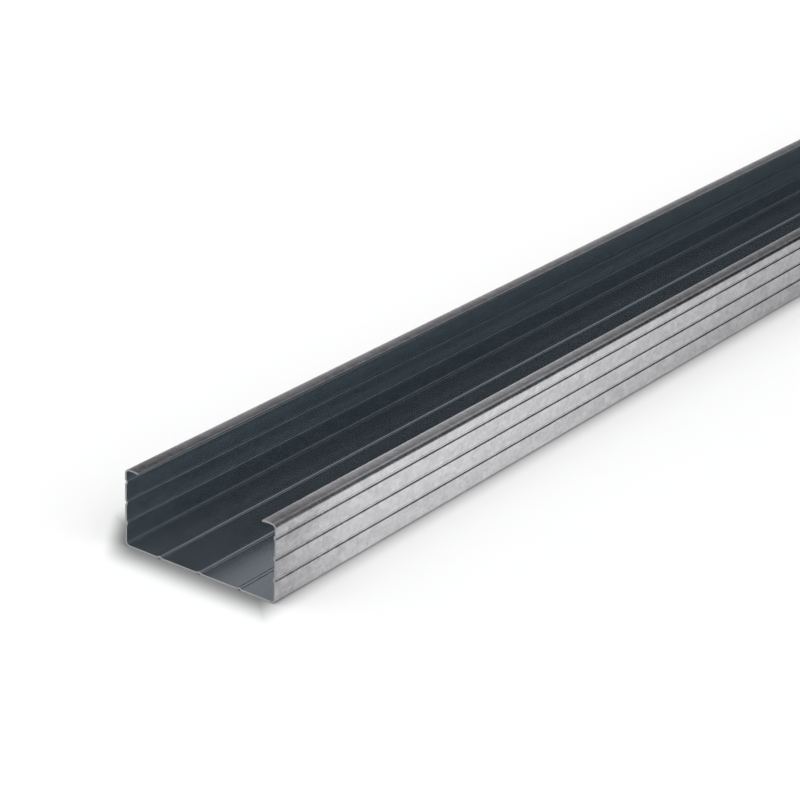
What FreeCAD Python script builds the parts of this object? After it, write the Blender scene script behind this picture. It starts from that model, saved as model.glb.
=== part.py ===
import FreeCAD, Part
import Sketcher
import math
import os

# Ceiling furring channel: one length of cold roll-formed galvanised strip.
# The section is a shallow lipped C, 60 mm wide and 27 mm high, lying on its web with
# the open side up. X runs along the stock, Y across the web, Z up. The origin is at
# the middle of the length, on the centreline of the web, on the level of the floor.
# Sizes are in millimetres and every feature takes them from the sheet.

doc = FreeCAD.newDocument("ceiling_furring_channel")

sheet = doc.addObject("Spreadsheet::Sheet", "sizes")
SIZES = [
    ("stock_length", 3000.0),       # a length this stock is sold in
    ("web_width", 60.0),            # outside of flange to outside of flange
    ("flange_height", 27.0),        # floor to the top of the lips
    ("lip_width", 5.5),             # outside of flange to the edge of the lip
    ("sheet_thickness", 0.6),
    ("bend_radius", 1.2),           # inside radius of all four bends
    ("web_bead_pitch", 16.0),       # three beads across the web, the middle one central
    ("flange_bead_low", 8.1),       # height of the lowest bead of a flange
    ("flange_bead_pitch", 7.1),     # three beads up each flange
    ("bead_depth", 0.44),           # how far a bead is pressed in from outside
    ("bead_mouth_radius", 1.0),     # outside skin, where a bead leaves the flat
    ("bead_root_radius", 0.5),      # outside skin, at the bottom of a bead
]
for row, (alias, value) in enumerate(SIZES, start=1):
    sheet.set("A%d" % row, alias)
    sheet.set("B%d" % row, str(value))
    sheet.setAlias("B%d" % row, alias)
doc.recompute()

body = doc.addObject("PartDesign::Body", "furring_channel")
body.Label = "furring_channel"
origin = {feature.Role: feature for feature in body.Origin.OriginFeatures}


def cell(name):
    return float(getattr(sheet, name))


def vector(u, v):
    return FreeCAD.Vector(u, v, 0.0)


def new_sketch(name):
    """A sketch on the plane across the stock: its axes are Y and Z."""
    sketch = body.newObject("Sketcher::SketchObject", name)
    sketch.AttachmentSupport = [(origin["YZ_Plane"], "")]
    sketch.MapMode = "FlatFace"
    return sketch


def dimension(sketch, name, constraint, formula):
    """Add one measured constraint and bind it to the sheet."""
    index = sketch.addConstraint(constraint)
    sketch.renameConstraint(index, name)
    sketch.setExpression("Constraints." + name, formula)


def along_stock(feature):
    """Carry a section both ways from the middle, over the whole length."""
    feature.SideType = "Symmetric"
    feature.setExpression("Length", "sizes.stock_length")


# The lipped C with square corners: floor side, right side, right lip, inside, left lip.
half = cell("web_width") / 2.0
top = cell("flange_height")
lip = cell("lip_width")
wall = cell("sheet_thickness")
corners = [
    (-half, 0.0), (half, 0.0), (half, top), (half - lip, top),
    (half - lip, top - wall), (half - wall, top - wall),
    (half - wall, wall), (-half + wall, wall),
    (-half + wall, top - wall), (-half + lip, top - wall),
    (-half + lip, top), (-half, top),
]
section = new_sketch("lipped_section")
count = len(corners)
for index in range(count):
    start = vector(*corners[index])
    end = vector(*corners[(index + 1) % count])
    section.addGeometry(Part.LineSegment(start, end), False)
for index in range(count):
    follower = (index + 1) % count
    section.addConstraint(Sketcher.Constraint("Coincident", index, 2, follower, 1))
    direction = "Horizontal" if index % 2 == 0 else "Vertical"
    section.addConstraint(Sketcher.Constraint(direction, index))

FLOOR_SIDE = 0
RIGHT_SIDE = 1
RIGHT_LIP = 2
RIGHT_LIP_EDGE = 3
WEB_INSIDE = 6
LEFT_INSIDE = 7
LEFT_LIP = 10
LEFT_SIDE = 11
Constraint = Sketcher.Constraint
section.addConstraint(Constraint("PointOnObject", FLOOR_SIDE, 1, -1))
dimension(section, "half_width", Constraint("DistanceX", FLOOR_SIDE, 1, -1, 1, half),
          "sizes.web_width / 2")
dimension(section, "width", Constraint("DistanceX", FLOOR_SIDE, 1, FLOOR_SIDE, 2, 2 * half),
          "sizes.web_width")
dimension(section, "right_height", Constraint("DistanceY", RIGHT_SIDE, 1, RIGHT_SIDE, 2, top),
          "sizes.flange_height")
dimension(section, "left_height", Constraint("DistanceY", LEFT_SIDE, 2, LEFT_SIDE, 1, top),
          "sizes.flange_height")
dimension(section, "right_lip", Constraint("DistanceX", RIGHT_LIP, 2, RIGHT_LIP, 1, lip),
          "sizes.lip_width")
dimension(section, "left_lip", Constraint("DistanceX", LEFT_LIP, 2, LEFT_LIP, 1, lip),
          "sizes.lip_width")
dimension(section, "right_lip_wall",
          Constraint("DistanceY", RIGHT_LIP_EDGE, 2, RIGHT_LIP_EDGE, 1, wall),
          "sizes.sheet_thickness")
dimension(section, "left_lip_wall", Constraint("DistanceY", LEFT_INSIDE, 2, LEFT_SIDE, 1, wall),
          "sizes.sheet_thickness")
dimension(section, "web_wall", Constraint("DistanceY", RIGHT_SIDE, 1, WEB_INSIDE, 1, wall),
          "sizes.sheet_thickness")
dimension(section, "right_wall", Constraint("DistanceX", WEB_INSIDE, 1, RIGHT_SIDE, 1, wall),
          "sizes.sheet_thickness")
dimension(section, "left_wall", Constraint("DistanceX", LEFT_SIDE, 2, LEFT_INSIDE, 1, wall),
          "sizes.sheet_thickness")

strip = body.newObject("PartDesign::Pad", "lipped_strip")
strip.Profile = section
along_stock(strip)
doc.recompute()


def long_edges(shape, places):
    """Names of the edges along the stock that pass through the (y, z) places."""
    names = []
    for number, edge in enumerate(shape.Edges, start=1):
        middle = edge.CenterOfMass
        for y, z in places:
            if math.hypot(middle.y - y, middle.z - z) < 0.01 and abs(middle.x) < 0.01:
                names.append("Edge%d" % number)
    return names


def bend(name, base, places, formula):
    """Round one set of the strip's long corners."""
    rounding = body.newObject("PartDesign::Fillet", name)
    rounding.Base = (base, long_edges(base.Shape, places))
    rounding.setExpression("Radius", formula)
    doc.recompute()
    return rounding


outside_corners = [(side * half, level) for side in (-1, 1) for level in (0.0, top)]
inside_corners = [
    (side * (half - wall), level) for side in (-1, 1) for level in (wall, top - wall)
]
outside_bends = bend("outside_bends", strip, outside_corners,
                     "sizes.bend_radius + sizes.sheet_thickness")
inside_bends = bend("inside_bends", outside_bends, inside_corners, "sizes.bend_radius")


def bead_profile(name, foot, crown, foot_formula, crown_formula):
    """One skin of a pressed bead: a flat, a foot arc, a crown arc and a foot arc.

    The feet touch the flat and the crown without a corner. The crown's centre lies on
    the other side of the flat, so that the bead rises by the bead depth.
    """
    depth = cell("bead_depth")
    turn = math.acos(1.0 - depth / (foot + crown))
    reach = (foot + crown) * math.sin(turn)
    down = -math.pi / 2.0
    up = math.pi / 2.0
    normal = FreeCAD.Vector(0.0, 0.0, 1.0)
    sketch = new_sketch(name)
    sketch.addGeometry(Part.LineSegment(vector(-reach, 0.0), vector(reach, 0.0)), False)
    near_foot = Part.Circle(vector(-reach, foot), normal, foot)
    sketch.addGeometry(Part.ArcOfCircle(near_foot, down, down + turn), False)
    arch = Part.Circle(vector(0.0, depth - crown), normal, crown)
    sketch.addGeometry(Part.ArcOfCircle(arch, up - turn, up + turn), False)
    far_foot = Part.Circle(vector(reach, foot), normal, foot)
    sketch.addGeometry(Part.ArcOfCircle(far_foot, down - turn, down), False)
    sketch.addConstraint(Constraint("Tangent", 1, 1, 0, 1))
    sketch.addConstraint(Constraint("Tangent", 1, 2, 2, 2))
    sketch.addConstraint(Constraint("Tangent", 2, 1, 3, 1))
    sketch.addConstraint(Constraint("Tangent", 3, 2, 0, 2))
    sketch.addConstraint(Constraint("PointOnObject", 0, 1, -1))
    sketch.addConstraint(Constraint("PointOnObject", 0, 2, -1))
    sketch.addConstraint(Constraint("PointOnObject", 2, 3, -2))
    sketch.addConstraint(Constraint("Equal", 1, 3))
    dimension(sketch, "foot", Constraint("Radius", 1, foot), foot_formula)
    dimension(sketch, "crown", Constraint("Radius", 2, crown), crown_formula)
    dimension(sketch, "below_flat", Constraint("DistanceY", 2, 3, -1, 1, crown - depth),
              crown_formula + " - sizes.bead_depth")
    return sketch


def pressed_bead(name, turn_degrees, across_formulas):
    """Ridge on the inside skin, then the groove in the outside skin, one wall apart.

    across_formulas gives the Y and Z of the bead on the outside skin and on the inside.
    """
    mouth = cell("bead_mouth_radius")
    root = cell("bead_root_radius")
    thick = cell("sheet_thickness")
    inside = bead_profile(name + "_ridge_profile", mouth - thick, root + thick,
                          "(sizes.bead_mouth_radius - sizes.sheet_thickness)",
                          "(sizes.bead_root_radius + sizes.sheet_thickness)")
    outside = bead_profile(name + "_groove_profile", mouth, root,
                           "sizes.bead_mouth_radius", "sizes.bead_root_radius")
    turned = FreeCAD.Rotation(FreeCAD.Vector(0.0, 0.0, 1.0), turn_degrees)
    for sketch, place in ((outside, across_formulas[0]), (inside, across_formulas[1])):
        sketch.AttachmentOffset = FreeCAD.Placement(FreeCAD.Vector(), turned)
        sketch.setExpression("AttachmentOffset.Base.x", place[0])
        sketch.setExpression("AttachmentOffset.Base.y", place[1])
    ridge = body.newObject("PartDesign::Pad", name + "_ridge")
    ridge.Profile = inside
    along_stock(ridge)
    doc.recompute()
    groove = body.newObject("PartDesign::Pocket", name + "_groove")
    groove.Profile = outside
    along_stock(groove)
    doc.recompute()
    return [ridge, groove]


# Beads of the web: pressed up from below, repeated across the web.
web_bead = pressed_bead("web_bead", 0.0, [
    ("-sizes.web_bead_pitch", "0 mm"),
    ("-sizes.web_bead_pitch", "sizes.sheet_thickness"),
])
web_beads = body.newObject("PartDesign::LinearPattern", "web_beads")
web_beads.Originals = web_bead
web_beads.Direction = (origin["Y_Axis"], [""])
web_beads.Mode = "Extent"
web_beads.setExpression("Length", "2 * sizes.web_bead_pitch")
web_beads.Occurrences = 3
body.Tip = web_beads
doc.recompute()

# Beads of the flanges: pressed in from the side, repeated upward, then mirrored.
flange_bead = pressed_bead("flange_bead", -90.0, [
    ("-sizes.web_width / 2", "sizes.flange_bead_low"),
    ("-sizes.web_width / 2 + sizes.sheet_thickness", "sizes.flange_bead_low"),
])
flange_beads = body.newObject("PartDesign::MultiTransform", "flange_beads")
flange_beads.Originals = flange_bead
upward = body.newObject("PartDesign::LinearPattern", "beads_upward")
upward.Direction = (origin["Z_Axis"], [""])
upward.Mode = "Extent"
upward.setExpression("Length", "2 * sizes.flange_bead_pitch")
upward.Occurrences = 3
both_flanges = body.newObject("PartDesign::Mirrored", "both_flanges")
both_flanges.MirrorPlane = (origin["XZ_Plane"], [""])
flange_beads.Transformations = [upward, both_flanges]
body.Tip = flange_beads
doc.recompute()

# Nothing is written unless every feature has built, as one closed solid.
for item in doc.Objects:
    if "Invalid" in item.State or "Error" in item.State:
        raise RuntimeError("did not build: %s %s" % (item.Name, item.State))
for item in body.Group:
    inside_pattern = item in flange_beads.Transformations
    if inside_pattern or not hasattr(item, "Shape"):
        continue
    if item.Shape.isNull() or not item.Shape.isValid():
        raise RuntimeError("bad shape: " + item.Name)
if len(body.Shape.Solids) != 1:
    raise RuntimeError("the channel is %d solids" % len(body.Shape.Solids))

os.makedirs("parts", exist_ok=True)
body.Shape.exportStep("parts/" + body.Label + ".step")
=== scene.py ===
import math

import bpy
import numpy as np
from mathutils import Matrix
from mathutils import Vector


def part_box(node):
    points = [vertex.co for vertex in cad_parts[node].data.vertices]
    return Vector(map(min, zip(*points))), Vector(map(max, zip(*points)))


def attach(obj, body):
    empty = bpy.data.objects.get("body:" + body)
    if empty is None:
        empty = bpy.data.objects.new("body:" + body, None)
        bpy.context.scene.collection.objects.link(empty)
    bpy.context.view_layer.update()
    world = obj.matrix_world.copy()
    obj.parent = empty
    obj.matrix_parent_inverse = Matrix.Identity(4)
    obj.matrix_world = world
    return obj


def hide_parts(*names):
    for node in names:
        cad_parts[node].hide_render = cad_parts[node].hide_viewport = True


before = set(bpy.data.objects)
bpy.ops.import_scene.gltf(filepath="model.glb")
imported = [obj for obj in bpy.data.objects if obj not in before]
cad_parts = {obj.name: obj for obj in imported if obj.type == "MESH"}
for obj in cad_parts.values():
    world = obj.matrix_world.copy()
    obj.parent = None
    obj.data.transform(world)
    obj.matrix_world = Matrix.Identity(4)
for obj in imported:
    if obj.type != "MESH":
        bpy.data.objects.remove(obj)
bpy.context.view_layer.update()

# Ceiling furring channel: one length of roll-formed galvanised strip on a white floor.
# Lengths are in metres, in the row's frame: X along the stock, Y across, Z up.

MM = 0.001
NODE = "furring_channel"
node_low, node_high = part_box(NODE)

# Section, as it is rolled. Width, height and length come from the frame.
HALF_LENGTH = (node_high.x - node_low.x) / 2
HALF_WIDTH = (node_high.y - node_low.y) / 2
HEIGHT = node_high.z - node_low.z
SHEET = 0.6 * MM
LIP_WIDTH = 5.5 * MM
BEND_INSIDE = 1.2 * MM
BEND_OUTSIDE = BEND_INSIDE + SHEET
WEB_BEADS = [16 * MM, 0.0, -16 * MM]
FLANGE_BEADS = [8.1 * MM, 15.2 * MM, 22.3 * MM]
BEAD_DEPTH = 0.44 * MM
BEAD_MOUTH = 1.0 * MM
BEAD_ROOT = 0.5 * MM
BEAD_TURN = math.acos(1 - BEAD_DEPTH / (BEAD_MOUTH + BEAD_ROOT))
BEAD_REACH = (BEAD_MOUTH + BEAD_ROOT) * math.sin(BEAD_TURN)

# Edges and crowned lips: each lip rises from its bend and rolls over to its slit edge.
SLIT_ROUND = 0.12 * MM
LIP_RISE = math.radians(6)
SLIT_TURN = math.radians(10)
BEND_MIDDLE = BEND_INSIDE + SHEET / 2
LIP_RUN = LIP_WIDTH - SLIT_ROUND - SHEET / 2 - BEND_MIDDLE * (1 - math.sin(LIP_RISE))
LIP_RADIUS = LIP_RUN / (math.sin(SLIT_TURN) + math.sin(LIP_RISE))
SLIT_DROP = LIP_RADIUS * (1 - math.cos(SLIT_TURN))
BEND_DROP = LIP_RADIUS * (1 - math.cos(LIP_RISE)) + BEND_MIDDLE * math.cos(LIP_RISE)
CUT_BEVEL = 0.07 * MM

# Sway of the flanges: two waves along the stock, with their shares, lengths and phases.
SWAY = 0.10 * MM
SWAY_SHARES = (0.6, 0.4)
SWAY_LENGTHS = (0.83, 0.37)
SWAY_PHASES = (0.7, 2.1)

# Fineness of the mesh: stations along the stock, steps round each arc, points round a slit edge.
STATIONS = 96
BEND_STEPS = 14
BEAD_MOUTH_STEPS = 6
BEAD_ROOT_STEPS = 9
LIP_STEPS = 10
SLIT_POINTS = 6
FLAT_GUARD = 0.12 * MM
SHARP_ANGLE = math.radians(32)

# Camera: a long lens above and to the right of the near end, with its angles in degrees.
NEAR_END = Vector((-HALF_LENGTH, 0, 0))
CAMERA_FROM_NEAR_END = Vector((-550.0, -460.0, 379.6)) * MM
LOOK_AZIMUTH = 35.14
LOOK_DOWN = 23.99
CAMERA_ROLL = 2.42
LENS_MM = 118.1
SENSOR_MM = 36.0
CLIP_NEAR = 0.01
CLIP_FAR = 200.0

# Studio: a dark world with a pale front dome, a left wall, two dim panels and a white sweep.
STUDIO_DARK = (0.016, 0.0235, 0.0265, 1)
FRONT_DOME_SIDE = (-0.70, -0.38, 0.605)
FRONT_DOME_EDGE = (0.12, 0.42)
FRONT_DOME_RISE = (0.25, 0.60)
FRONT_DOME_LOW = (0.80, 0.80, 0.80, 1)
FRONT_DOME_HIGH = (1.58, 1.58, 1.58, 1)
BACK_PANEL_SIDE = (0.77, 0.111, 0.628)
BACK_PANEL_EDGE = (0.945, 0.99)
BACK_PANEL_LIGHT = (0.42, 0.42, 0.43, 1)
RIGHT_PANEL_SIDE = (0.46, -0.88, 0.10)
RIGHT_PANEL_EDGE = (0.90, 0.96)
RIGHT_PANEL_LIGHT = (0.35, 0.35, 0.35, 1)
LEFT_WALL_SIDE = (-0.35, 0.94, 0.0)
LEFT_WALL_EDGE = (-0.15, 0.25)
LEFT_WALL_LOW = (1.0, 1.0, 1.01, 1)
LEFT_WALL_MIDDLE = (0.325, 0.325, 0.335, 1)
LEFT_WALL_HIGH = (0.10, 0.105, 0.11, 1)
WALL_LOW_EDGE = (0.12, 0.55)
WALL_HIGH_EDGE = (0.67, 0.82)
SWEEP_EDGE = (0.03, 0.09)
SWEEP_WHITE = (1.0, 1.0, 1.0, 1)

# Floor, and the soft shade round the stock, which slants away from the camera on the left.
FLOOR_HALF = 40.0
FLOOR_ROUGH = 0.9
FLOOR_WHITE = (0.98, 0.98, 0.98, 1)
SHADE_GREY = (0.245, 0.245, 0.247, 1)
SHADE_PAST_ENDS = 9.5 * MM
SHADE_PAST_LEFT = 16.0 * MM
SHADE_PAST_RIGHT = 3.2 * MM
SHADE_SLANT = 1.45
SHADE_SLANT_START = 9.4 * MM
SHADE_EDGE = (-10.0 * MM, 3.8 * MM)

# Zinc: outside skin, inside skin painted darker and bluer as shade, and the bare steel of cut edges.
ZINC_OUTSIDE = (0.595, 0.59, 0.605, 1)
ZINC_INSIDE_PAINTED_SHADE = (0.488, 0.548, 0.592, 1)
BARE_STEEL = (0.31, 0.31, 0.315, 1)
OUTSIDE_ROUGH = 0.25
INSIDE_ROUGH = 0.17
BARE_ROUGH = 0.5
SPANGLE_ROUGH = 0.02
DULL_ROUGH = 0.05
METAL_SHARE = 0.985

# Painted light along the stock: a reflection on the right half of the strip, shade on the left.
PAINTED_LIGHT_LENGTHS = (0.55, 0.80)
PAINTED_LIGHT_PEAK_AT = 0.075
PAINTED_LIGHT_DEPTH = 0.46
LEFT_PAINTED_SHADE = -0.23
LEFT_SHADE_WAVE = 0.11
SIDES_BLEND = 15 * MM

# Marks on the skins, with their waves or cells per metre along, across and between the skins.
SPANGLE_LEVEL = 0.15
SPANGLE_LARGE = (260, 420, 90)
SPANGLE_SMALL = (800, 1000, 90)
GRAIN_LEVEL = 0.05
GRAIN_FINE = (9, 1900, 40)
GRAIN_COARSE = (2.5, 330, 40)
GRAIN_DETAIL = 2.0
GRAIN_RANGE = 2.5
PATCHES = (28, 60, 40)
PATCH_DETAIL = 3.0
PATCH_EDGE = (0.25, 0.7)
PATCH_LEAST = 0.7
INSIDE_MARKS = 0.25

# Dull handled ends, dust along the web, and the bump of spangle and grain.
DULL_LEVEL = 0.30
DULL_REACH = 45 * MM
DUST_SHARE = 0.04
DUST_LINE = 4 * MM
DUST_EDGE = (18 * MM, 36 * MM)
BUMP_STRENGTH = 0.25
BUMP_DISTANCE = 0.01 * MM
SPANGLE_BUMP = 0.4


def straight(length):
    """A flat stretch of the strip, with a short step at each end that keeps the shading flat."""
    return [(FLAT_GUARD, 0.0, 1), (length - 2 * FLAT_GUARD, 0.0, 1), (FLAT_GUARD, 0.0, 1)]


def bend(turn=math.pi / 2):
    """A bend towards the inside, measured on the middle of the sheet."""
    return [(BEND_MIDDLE * turn, -turn, BEND_STEPS)]


def bead():
    """A pressed bead: in at the mouth, round the root, and back out, on the middle of the sheet."""
    mouth = BEAD_MOUTH - SHEET / 2
    root = BEAD_ROOT + SHEET / 2
    return [
        (mouth * BEAD_TURN, -BEAD_TURN, BEAD_MOUTH_STEPS),
        (root * 2 * BEAD_TURN, 2 * BEAD_TURN, BEAD_ROOT_STEPS),
        (mouth * BEAD_TURN, -BEAD_TURN, BEAD_MOUTH_STEPS),
    ]


def beaded_flat(length, centres):
    """A flat face of the given length with beads at the given distances along it."""
    pieces = []
    start = 0.0
    for centre in centres:
        pieces += straight(centre - BEAD_REACH - start)
        pieces += bead()
        start = centre + BEAD_REACH
    return pieces + straight(length - start)


def section_pieces():
    """The strip from the left lip's edge to the right lip's edge, as (length, turn, steps)."""
    lip = [(LIP_RADIUS * (SLIT_TURN + LIP_RISE), -SLIT_TURN - LIP_RISE, LIP_STEPS)]
    lip_bend = bend(math.pi / 2 - LIP_RISE)
    flange_flat = HEIGHT - SHEET / 2 - BEND_DROP - BEND_OUTSIDE
    web_flat = 2 * (HALF_WIDTH - BEND_OUTSIDE)
    rising = [level - BEND_OUTSIDE for level in FLANGE_BEADS]
    falling = [flange_flat - distance for distance in reversed(rising)]
    crossing = [HALF_WIDTH - BEND_OUTSIDE - across for across in WEB_BEADS]
    pieces = lip + lip_bend
    pieces += beaded_flat(flange_flat, falling) + bend()
    pieces += beaded_flat(web_flat, crossing) + bend()
    pieces += beaded_flat(flange_flat, rising)
    return pieces + lip_bend + lip


def rolled_path(pieces, start, first_heading):
    """Points on the middle of the sheet, the heading at each, and the distance across the strip.

    The heading is the running sum of the turns. Each step is a chord, its length the arc's
    length times sin(h)/h for half its turn h, so that the points lie on the true arcs.
    """
    table = np.array(pieces)
    steps = table[:, 2].astype(int)
    turn = np.repeat(table[:, 1] / steps, steps)
    length = np.repeat(table[:, 0] / steps, steps)
    heading = first_heading + np.concatenate([[0.0], np.cumsum(turn)])
    chord = length * np.sinc(turn / 2 / np.pi)
    middle = heading[:-1] + turn / 2
    step = np.stack([np.cos(middle), np.sin(middle)], axis=1) * chord[:, None]
    points = np.array(start) + np.concatenate([np.zeros((1, 2)), np.cumsum(step, axis=0)])
    across = np.concatenate([[0.0], np.cumsum(length)])
    return points, heading, across


def section_ring(path, heading, wall):
    """Closed outline: outer skin, right slit edge, inner skin back, left slit edge.

    The skins lie half a wall to each side of the path. A slit edge is half an ellipse: the
    wall's half thickness by a small rounding.
    """
    half = wall / 2
    inward = np.stack([np.sin(heading), -np.cos(heading)], axis=1)
    onward = np.stack([np.cos(heading), np.sin(heading)], axis=1)
    outer = path - inward * half
    inner = path + inward * half
    angle = np.linspace(0, np.pi, SLIT_POINTS + 2)[1:-1, None]
    round_off = SLIT_ROUND * np.sin(angle)
    right_edge = path[-1] - inward[-1] * half * np.cos(angle) + onward[-1] * round_off
    left_edge = path[0] + inward[0] * half * np.cos(angle) - onward[0] * round_off
    return np.concatenate([outer, right_edge, inner[::-1], left_edge])


def ring_marks(across):
    """Per ring point: distance across the strip, share of inside skin, and slit edge or not."""
    none = np.zeros(len(across))
    edge = np.ones(SLIT_POINTS)
    over = np.linspace(0, 1, SLIT_POINTS)
    place = np.concatenate([across, edge * across[-1], across[::-1], edge * across[0]])
    inside = np.concatenate([none, over, none + 1, over[::-1]])
    slit = np.concatenate([none, edge, none, edge])
    return place, inside, slit


def grid_faces(rows, columns):
    """Quads of a grid whose columns close on themselves, wound to face outward."""
    row = np.arange(rows - 1)[:, None]
    column = np.arange(columns)[None, :]
    following = (column + 1) % columns
    corners = [
        row * columns + column,
        (row + 1) * columns + column,
        (row + 1) * columns + following,
        row * columns + following,
    ]
    return np.stack(np.broadcast_arrays(*corners), axis=-1).reshape(-1, 4)


def cut_faces(skin, rows, columns):
    """Faces of the two cut ends: a row of quads across the wall and one face at each slit edge."""
    edge = (columns - 2 * skin) // 2
    first = np.arange(skin - 1)
    across = 2 * skin + edge - 1 - first
    wall = np.stack([first, first + 1, across - 1, across], axis=1)
    right_tip = np.arange(skin - 1, skin + edge + 1)
    left_tip = np.concatenate([np.arange(2 * skin + edge - 1, columns), [0]])
    last = (rows - 1) * columns
    faces = wall.tolist() + (wall[:, ::-1] + last).tolist()
    faces += [right_tip.tolist(), left_tip.tolist()]
    return faces + [(right_tip[::-1] + last).tolist(), (left_tip[::-1] + last).tolist()]


def mark_points(mesh, name, values):
    """Store one value per point of the mesh, for the material to read."""
    attribute = mesh.attributes.new(name, "FLOAT", "POINT")
    attribute.data.foreach_set("value", values.reshape(-1).astype(np.float32))


def build_channel():
    """The rolled section carried along the stock, with bevelled cut ends and a slight sway.

    Sway is a sum of two sines of X. It grows with the square of the height, so the web stays
    flat on the floor and the lips wander by a tenth of a millimetre.
    """
    start = (HALF_WIDTH - LIP_WIDTH + SLIT_ROUND, HEIGHT - SHEET / 2 - SLIT_DROP)
    path, heading, across = rolled_path(section_pieces(), start, SLIT_TURN)
    full = section_ring(path, heading, SHEET)
    cut = section_ring(path, heading, SHEET - 2 * CUT_BEVEL)
    place, inside, slit = ring_marks(across)

    inner_x = np.linspace(-1, 1, STATIONS) * (HALF_LENGTH - CUT_BEVEL)
    x = np.concatenate([[-HALF_LENGTH], inner_x, [HALF_LENGTH]])
    at_cut = np.zeros(len(x))
    at_cut[[0, -1]] = 1.0

    cut_share = at_cut[:, None, None]
    section = full[None] * (1 - cut_share) + cut[None] * cut_share
    wave = np.zeros(len(x))
    for share, length, phase in zip(SWAY_SHARES, SWAY_LENGTHS, SWAY_PHASES):
        wave += share * np.sin(2 * np.pi * x / length + phase)
    lean = (section[:, :, 1] / HEIGHT) ** 2
    y = section[:, :, 0] + SWAY * wave[:, None] * lean
    z = section[:, :, 1]
    points = np.stack([np.broadcast_to(x[:, None], y.shape), y, z], axis=-1)
    rows, columns = y.shape

    faces = grid_faces(rows, columns).tolist() + cut_faces(len(path), rows, columns)
    mesh = bpy.data.meshes.new("furring_channel_rolled")
    mesh.from_pydata(points.reshape(-1, 3), [], faces)
    mesh.polygons.foreach_set("use_smooth", np.ones(len(mesh.polygons), dtype=bool))
    mark_points(mesh, "across_strip", np.broadcast_to(place[None, :], y.shape))
    mark_points(mesh, "inside_skin", np.broadcast_to(inside[None, :], y.shape))
    mark_points(mesh, "bare_edge", np.maximum(slit[None, :], at_cut[:, None]))
    mesh.validate()
    mesh.update()
    mesh.set_sharp_from_angle(angle=SHARP_ANGLE)
    piece = bpy.data.objects.new("furring_channel_rolled", mesh)
    bpy.context.collection.objects.link(piece)
    return piece


def add_node(tree, kind, label, **settings):
    """One shader node, named for what it gives, with its settings."""
    node = tree.nodes.new(kind)
    node.name = label
    node.label = label
    for key, value in settings.items():
        setattr(node, key, value)
    return node


def fill(tree, socket, value):
    """Put a number, a colour or another node's output into a socket."""
    if isinstance(value, bpy.types.NodeSocket):
        tree.links.new(value, socket)
    else:
        socket.default_value = value


def compute(tree, operation, label, *values):
    """Math node; its values are numbers or outputs."""
    node = add_node(tree, "ShaderNodeMath", label, operation=operation)
    for socket, value in zip(node.inputs, values):
        fill(tree, socket, value)
    return node.outputs["Value"]


def compute_vector(tree, operation, label, *values):
    """Vector Math node; its values are vectors or outputs."""
    node = add_node(tree, "ShaderNodeVectorMath", label, operation=operation)
    for socket, value in zip(node.inputs, values):
        fill(tree, socket, value)
    single = operation in ("LENGTH", "DOT_PRODUCT")
    return node.outputs["Value" if single else "Vector"]


def ramp(tree, label, value, edge, first=0.0, last=1.0):
    """Smooth step from first to last while the value crosses the edge, given as (start, stop)."""
    node = add_node(tree, "ShaderNodeMapRange", label, interpolation_type="SMOOTHSTEP")
    fill(tree, node.inputs["Value"], value)
    node.inputs["From Min"].default_value = edge[0]
    node.inputs["From Max"].default_value = edge[1]
    node.inputs["To Min"].default_value = first
    node.inputs["To Max"].default_value = last
    return node.outputs["Result"]


def blend(tree, label, share, first, second, kind="MIX"):
    """Colour mix: first where the share is 0, second where it is 1."""
    node = add_node(tree, "ShaderNodeMix", label, data_type="RGBA", blend_type=kind)
    fill(tree, node.inputs["Factor"], share)
    fill(tree, node.inputs["A"], first)
    fill(tree, node.inputs["B"], second)
    return node.outputs["Result"]


def strip_mark(tree, label, name):
    """One of the values that the mesh stores at its points."""
    node = add_node(tree, "ShaderNodeAttribute", label, attribute_name=name)
    return node.outputs["Fac"]


def noise(tree, label, place, stretch, detail):
    """Noise with its waves stretched: so many per metre along, across, and between the skins."""
    stretched = compute_vector(tree, "MULTIPLY", label + " place", place, stretch)
    node = add_node(tree, "ShaderNodeTexNoise", label)
    fill(tree, node.inputs["Vector"], stretched)
    node.inputs["Scale"].default_value = 1.0
    node.inputs["Detail"].default_value = detail
    return node.outputs["Fac"]


def new_group(name, inputs, outputs):
    """An empty shader group with named sockets, its input node and its output node."""
    group = bpy.data.node_groups.new(name, "ShaderNodeTree")
    for label, kind in inputs:
        group.interface.new_socket(name=label, in_out="INPUT", socket_type=kind)
    for label in outputs:
        group.interface.new_socket(name=label, in_out="OUTPUT", socket_type="NodeSocketFloat")
    start = add_node(group, "NodeGroupInput", "given")
    end = add_node(group, "NodeGroupOutput", "result")
    return group, start, end


def zinc_spangle_group():
    """Crystals of the coating: large and small Voronoi cells, each with a shade of its own.

    A cell's shade is the red of its chance colour. The shades of the two sizes are added, less
    their mean, which gives a value from -1 to 1.
    """
    group, start, end = new_group("zinc_spangle", [("Place", "NodeSocketVector")], ["Shade"])
    given = start.outputs["Place"]
    shades = []
    for label, cells_per_metre in (("large", SPANGLE_LARGE), ("small", SPANGLE_SMALL)):
        place = compute_vector(group, "MULTIPLY", label + " place", given, cells_per_metre)
        cells = add_node(group, "ShaderNodeTexVoronoi", label + " crystals")
        group.links.new(place, cells.inputs["Vector"])
        cells.inputs["Scale"].default_value = 1.0
        split = add_node(group, "ShaderNodeSeparateColor", label + " shade")
        group.links.new(cells.outputs["Color"], split.inputs["Color"])
        shades.append(split.outputs["Red"])
    both = compute(group, "ADD", "both shades", *shades)
    shade = compute(group, "SUBTRACT", "shade", both, 1.0)
    group.links.new(shade, end.inputs["Shade"])
    return group


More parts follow.
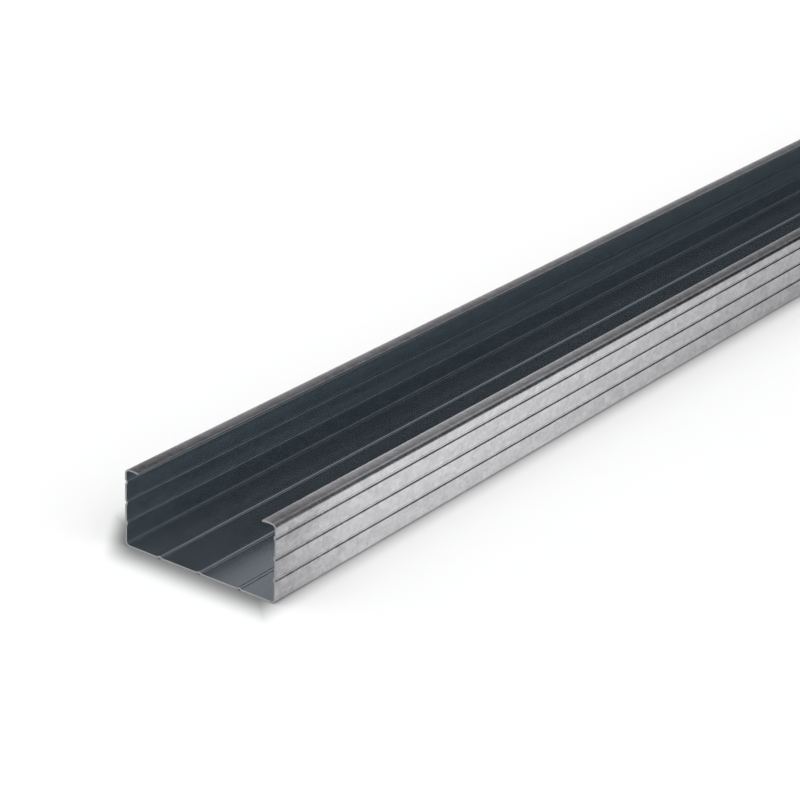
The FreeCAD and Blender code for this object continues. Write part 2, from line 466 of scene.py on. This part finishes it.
def rolling_grain_group():
    """Streaks of the rolls: fine and coarse noise drawn out along the stock, about -1 to 1."""
    group, start, end = new_group("rolling_grain", [("Place", "NodeSocketVector")], ["Streak"])
    place = start.outputs["Place"]
    fine = noise(group, "fine streaks", place, GRAIN_FINE, GRAIN_DETAIL)
    coarse = noise(group, "coarse streaks", place, GRAIN_COARSE, GRAIN_DETAIL)
    both = compute(group, "ADD", "both streaks", fine, coarse)
    streak = compute(group, "SUBTRACT", "streak", both, 1.0)
    streak = compute(group, "MULTIPLY", "streak to full range", streak, GRAIN_RANGE)
    group.links.new(streak, end.inputs["Streak"])
    return group


def painted_light_and_wear_group():
    """Painted light along the stock, the dull handled ends, and dust in the bottom.

    On the right half of the strip a painted reflection: nought at the brightest place, falling by
    up to the depth as the mean of two cosines of X. The left half has a painted shade of its own,
    less a small share of the shorter cosine. Dulling is a noise that fades with the distance from
    the nearer cut end. Dust is the same noise, fading with the distance from a line along the web.
    """
    outputs = ["Tone", "Dulling", "Dust"]
    group, start, end = new_group("painted_light_and_wear", [("Place", "NodeSocketVector")], outputs)
    place = start.outputs["Place"]
    axes = add_node(group, "ShaderNodeSeparateXYZ", "axes")
    group.links.new(place, axes.inputs["Vector"])
    along = axes.outputs["X"]
    across = axes.outputs["Y"]
    # Painted reflection on the right half: brightest at one place near the near end, darker away from
    # it.
    from_bright = compute(group, "ADD", "from the bright place", along, HALF_LENGTH - PAINTED_LIGHT_PEAK_AT)
    waves = []
    for label, length in zip(("short", "long"), PAINTED_LIGHT_LENGTHS):
        phase = compute(group, "MULTIPLY", label + " phase", from_bright, 2 * math.pi / length)
        waves.append(compute(group, "COSINE", label + " wave", phase))
    both = compute(group, "ADD", "both waves", *waves)
    waved = compute(group, "MULTIPLY_ADD", "waved tone", both, PAINTED_LIGHT_DEPTH / 4, -PAINTED_LIGHT_DEPTH / 2)
    strip_middle = sum(length for length, turn, steps in section_pieces()) / 2
    sides_edge = (strip_middle - SIDES_BLEND, strip_middle + SIDES_BLEND)
    right_half = ramp(group, "right half", across, sides_edge)
    # Painted shade on the left half: darker by a set amount, less a share of the shorter wave.
    left = compute(group, "MULTIPLY_ADD", "left tone", waves[0], -LEFT_SHADE_WAVE, LEFT_PAINTED_SHADE)
    past_left = compute(group, "SUBTRACT", "past the left tone", waved, left)
    tone = compute(group, "MULTIPLY_ADD", "tone", past_left, right_half, left)
    group.links.new(tone, end.inputs["Tone"])
    distance = compute(group, "ABSOLUTE", "from the middle", along)
    inward = compute(group, "SUBTRACT", "from the cut end", HALF_LENGTH, distance)
    near = ramp(group, "near the end", inward, (0.0, DULL_REACH), 1.0, 0.0)
    patches = noise(group, "patches", place, PATCHES, PATCH_DETAIL)
    patchy = ramp(group, "patchy", patches, PATCH_EDGE, PATCH_LEAST, 1.0)
    dull = compute(group, "MULTIPLY", "dulling", near, patchy)
    group.links.new(dull, end.inputs["Dulling"])
    sideways = compute(group, "SUBTRACT", "from the dust line", across, strip_middle - DUST_LINE)
    aside = compute(group, "ABSOLUTE", "to either side of it", sideways)
    settled = ramp(group, "settled dust", aside, DUST_EDGE, 1.0, 0.0)
    dust = compute(group, "MULTIPLY", "patchy dust", settled, patchy)
    group.links.new(dust, end.inputs["Dust"])
    return group


def galvanised_material():
    """Zinc-coated strip: two skins, bare cut edges, spangle, grain, handled ends, painted light and
    shade.
    """
    material = bpy.data.materials.new("galvanised_steel")
    material.use_nodes = True
    tree = material.node_tree
    link = tree.links.new
    shader = tree.nodes["Principled BSDF"]

    object_place = add_node(tree, "ShaderNodeTexCoord", "object place")
    axes = add_node(tree, "ShaderNodeSeparateXYZ", "object axes")
    link(object_place.outputs["Object"], axes.inputs["Vector"])
    across = strip_mark(tree, "across strip", "across_strip")
    inside = strip_mark(tree, "inside skin", "inside_skin")
    edge = strip_mark(tree, "bare edge", "bare_edge")
    place = add_node(tree, "ShaderNodeCombineXYZ", "place on the strip")
    link(axes.outputs["X"], place.inputs["X"])
    link(across, place.inputs["Y"])
    link(inside, place.inputs["Z"])

    spangle = add_node(tree, "ShaderNodeGroup", "spangle", node_tree=zinc_spangle_group())
    grain = add_node(tree, "ShaderNodeGroup", "grain", node_tree=rolling_grain_group())
    tone = add_node(tree, "ShaderNodeGroup", "tone", node_tree=painted_light_and_wear_group())
    for group in (spangle, grain, tone):
        link(place.outputs["Vector"], group.inputs["Place"])
    shade = spangle.outputs["Shade"]
    streak = grain.outputs["Streak"]
    dulling = tone.outputs["Dulling"]

    marking = ramp(tree, "share of marks", inside, (0.0, 1.0), 1.0, INSIDE_MARKS)
    # Marks: the spangle, added to the painted reflection and painted shade along the stock.
    marks = compute(tree, "MULTIPLY_ADD", "spangle level", shade, SPANGLE_LEVEL, tone.outputs["Tone"])
    marks = compute(tree, "MULTIPLY_ADD", "dulled level", dulling, -DULL_LEVEL, marks)
    level = compute(tree, "MULTIPLY_ADD", "marked level", marks, marking, 1.0)
    level = compute(tree, "MULTIPLY_ADD", "grain level", streak, GRAIN_LEVEL, level)
    # The inside skin is painted darker and bluer than the outside, as shade.
    skin = blend(tree, "skin colour, inside painted as shade", inside, ZINC_OUTSIDE, ZINC_INSIDE_PAINTED_SHADE)
    toned = blend(tree, "toned skin", 1.0, skin, level, "MULTIPLY")
    colour = blend(tree, "with bare edges", edge, toned, BARE_STEEL)
    link(colour, shader.inputs["Base Color"])

    dusty = compute(tree, "MULTIPLY", "dust inside", tone.outputs["Dust"], inside)
    metal = compute(tree, "MULTIPLY_ADD", "metal share", dusty, -DUST_SHARE, METAL_SHARE)
    link(metal, shader.inputs["Metallic"])

    rough = ramp(tree, "skin roughness", inside, (0.0, 1.0), OUTSIDE_ROUGH, INSIDE_ROUGH)
    rough = compute(tree, "MULTIPLY_ADD", "spangle roughness", shade, SPANGLE_ROUGH, rough)
    rough = compute(tree, "MULTIPLY_ADD", "dulled roughness", dulling, DULL_ROUGH, rough)
    bare_more = BARE_ROUGH - OUTSIDE_ROUGH
    rough = compute(tree, "MULTIPLY_ADD", "bare roughness", edge, bare_more, rough)
    link(rough, shader.inputs["Roughness"])

    bump = add_node(tree, "ShaderNodeBump", "surface bump")
    bump.inputs["Strength"].default_value = BUMP_STRENGTH
    bump.inputs["Distance"].default_value = BUMP_DISTANCE
    height = compute(tree, "MULTIPLY_ADD", "bump height", shade, SPANGLE_BUMP, streak)
    link(height, bump.inputs["Height"])
    link(bump.outputs["Normal"], shader.inputs["Normal"])
    return material


def floor_material():
    """White, with a soft shade where the stock lies, which reflections don't show.

    The shade goes by the distance from a rectangle that reaches a little past the stock. To the
    left of the stock the rectangle is slanted: each place there counts as nearer to the camera
    by the slant times its distance from the stock's side.
    """
    material = bpy.data.materials.new("white_floor")
    material.use_nodes = True
    tree = material.node_tree
    shader = tree.nodes["Principled BSDF"]
    shader.inputs["Roughness"].default_value = FLOOR_ROUGH
    shader.inputs["Specular IOR Level"].default_value = 0.0
    place = add_node(tree, "ShaderNodeTexCoord", "place").outputs["Object"]
    axes = add_node(tree, "ShaderNodeSeparateXYZ", "axes")
    tree.links.new(place, axes.inputs["Vector"])
    past_left = compute(tree, "SUBTRACT", "past the left side", axes.outputs["Y"], HALF_WIDTH)
    out_left = compute(tree, "SMOOTH_MAX", "out to the left", past_left, 0.0, SHADE_SLANT_START)
    along = compute(tree, "MULTIPLY_ADD", "slanted along", out_left, -SHADE_SLANT, axes.outputs["X"])
    slanted = add_node(tree, "ShaderNodeCombineXYZ", "slanted place")
    tree.links.new(along, slanted.inputs["X"])
    tree.links.new(axes.outputs["Y"], slanted.inputs["Y"])
    shade_middle = (0.0, (SHADE_PAST_LEFT - SHADE_PAST_RIGHT) / 2, 0.0)
    shade_half_width = HALF_WIDTH + (SHADE_PAST_LEFT + SHADE_PAST_RIGHT) / 2
    shade_half = (HALF_LENGTH + SHADE_PAST_ENDS, shade_half_width, 0.0)
    moved = compute_vector(tree, "SUBTRACT", "moved", slanted.outputs["Vector"], shade_middle)
    folded = compute_vector(tree, "ABSOLUTE", "either side", moved)
    past = compute_vector(tree, "SUBTRACT", "past the shade", folded, shade_half)
    outside = compute_vector(tree, "MAXIMUM", "outside only", past, (0.0, 0.0, 0.0))
    distance = compute_vector(tree, "LENGTH", "distance", outside)
    past_axes = add_node(tree, "ShaderNodeSeparateXYZ", "past axes")
    tree.links.new(past, past_axes.inputs["Vector"])
    nearest = compute(tree, "MAXIMUM", "nearest side", past_axes.outputs["X"], past_axes.outputs["Y"])
    within = compute(tree, "MINIMUM", "depth inside", nearest, 0.0)
    from_edge = compute(tree, "ADD", "from the edge", distance, within)
    open_floor = ramp(tree, "open floor", from_edge, SHADE_EDGE)
    reflected = add_node(tree, "ShaderNodeLightPath", "ray").outputs["Is Glossy Ray"]
    share = compute(tree, "MAXIMUM", "open or reflected", open_floor, reflected)
    colour = blend(tree, "floor colour", share, SHADE_GREY, FLOOR_WHITE)
    tree.links.new(colour, shader.inputs["Base Color"])
    return material


def build_floor():
    """A wide flat square that the stock lies on."""
    half = FLOOR_HALF
    corners = [(-half, -half, 0), (half, -half, 0), (half, half, 0), (-half, half, 0)]
    mesh = bpy.data.meshes.new("floor")
    mesh.from_pydata(corners, [], [(0, 1, 2, 3)])
    floor = bpy.data.objects.new("floor", mesh)
    bpy.context.collection.objects.link(floor)
    mesh.materials.append(floor_material())


def build_camera():
    """Camera that looks along its azimuth and down, then is rolled about its line of sight."""
    azimuth = math.radians(LOOK_AZIMUTH)
    down = math.radians(LOOK_DOWN)
    forward = Vector((
        math.cos(azimuth) * math.cos(down),
        math.sin(azimuth) * math.cos(down),
        -math.sin(down),
    ))
    level_right = forward.cross(Vector((0, 0, 1))).normalized()
    level_up = level_right.cross(forward)
    roll = math.radians(CAMERA_ROLL)
    right = level_right * math.cos(roll) + level_up * math.sin(roll)
    up = right.cross(forward)
    data = bpy.data.cameras.new("camera")
    data.lens = LENS_MM
    data.sensor_width = SENSOR_MM
    data.clip_start = CLIP_NEAR
    data.clip_end = CLIP_FAR
    camera = bpy.data.objects.new("camera", data)
    turned = Matrix((right, up, -forward)).transposed().to_4x4()
    camera.matrix_world = Matrix.Translation(NEAR_END + CAMERA_FROM_NEAR_END) @ turned
    bpy.context.collection.objects.link(camera)
    bpy.context.scene.camera = camera


def share_towards(tree, label, direction, side, edge):
    """Share of one part of the studio: a smooth step of the cosine between direction and side."""
    towards = tuple(Vector(side).normalized())
    facing = compute_vector(tree, "DOT_PRODUCT", label + " facing", direction, towards)
    return ramp(tree, label + " share", facing, edge)


def build_studio():
    """World of soft light, by direction: dark, left wall, two panels, front dome, white sweep.

    The wall darkens upward by its rise, which is the direction's height over its length as seen
    along the stock. The dome brightens with height, and the sweep fades just above the horizon.
    """
    world = bpy.data.worlds.new("studio")
    world.use_nodes = True
    tree = world.node_tree
    background = tree.nodes["Background"]
    background.inputs["Strength"].default_value = 1.0
    direction = add_node(tree, "ShaderNodeTexCoord", "direction").outputs["Generated"]
    axes = add_node(tree, "ShaderNodeSeparateXYZ", "axes")
    tree.links.new(direction, axes.inputs["Vector"])
    up = axes.outputs["Z"]
    crosswise = compute_vector(tree, "MULTIPLY", "crosswise", direction, (0.0, 1.0, 1.0))
    reach = compute_vector(tree, "LENGTH", "reach", crosswise)
    rise = compute(tree, "DIVIDE", "rise", up, reach)
    above_low = ramp(tree, "above the low wall", rise, WALL_LOW_EDGE)
    above_middle = ramp(tree, "above the middle wall", rise, WALL_HIGH_EDGE)
    wall = blend(tree, "low wall", above_low, LEFT_WALL_LOW, LEFT_WALL_MIDDLE)
    wall = blend(tree, "high wall", above_middle, wall, LEFT_WALL_HIGH)
    wall_share = share_towards(tree, "left wall", direction, LEFT_WALL_SIDE, LEFT_WALL_EDGE)
    back_share = share_towards(tree, "back panel", direction, BACK_PANEL_SIDE, BACK_PANEL_EDGE)
    right_share = share_towards(tree, "right panel", direction, RIGHT_PANEL_SIDE, RIGHT_PANEL_EDGE)
    dome_share = share_towards(tree, "front dome", direction, FRONT_DOME_SIDE, FRONT_DOME_EDGE)
    dome_rise = ramp(tree, "up the dome", up, FRONT_DOME_RISE)
    dome = blend(tree, "dome light", dome_rise, FRONT_DOME_LOW, FRONT_DOME_HIGH)
    above_sweep = ramp(tree, "above the sweep", up, SWEEP_EDGE)
    colour = blend(tree, "left wall", wall_share, STUDIO_DARK, wall)
    colour = blend(tree, "back panel", back_share, colour, BACK_PANEL_LIGHT, "ADD")
    colour = blend(tree, "right panel", right_share, colour, RIGHT_PANEL_LIGHT, "ADD")
    colour = blend(tree, "front dome", dome_share, colour, dome)
    colour = blend(tree, "sweep", above_sweep, SWEEP_WHITE, colour)
    tree.links.new(colour, background.inputs["Color"])
    bpy.context.scene.world = world


channel = build_channel()
channel.data.materials.append(galvanised_material())
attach(channel, "root")
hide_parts(NODE)
build_floor()
build_studio()
build_camera()
bpy.context.scene.view_settings.view_transform = "Standard"
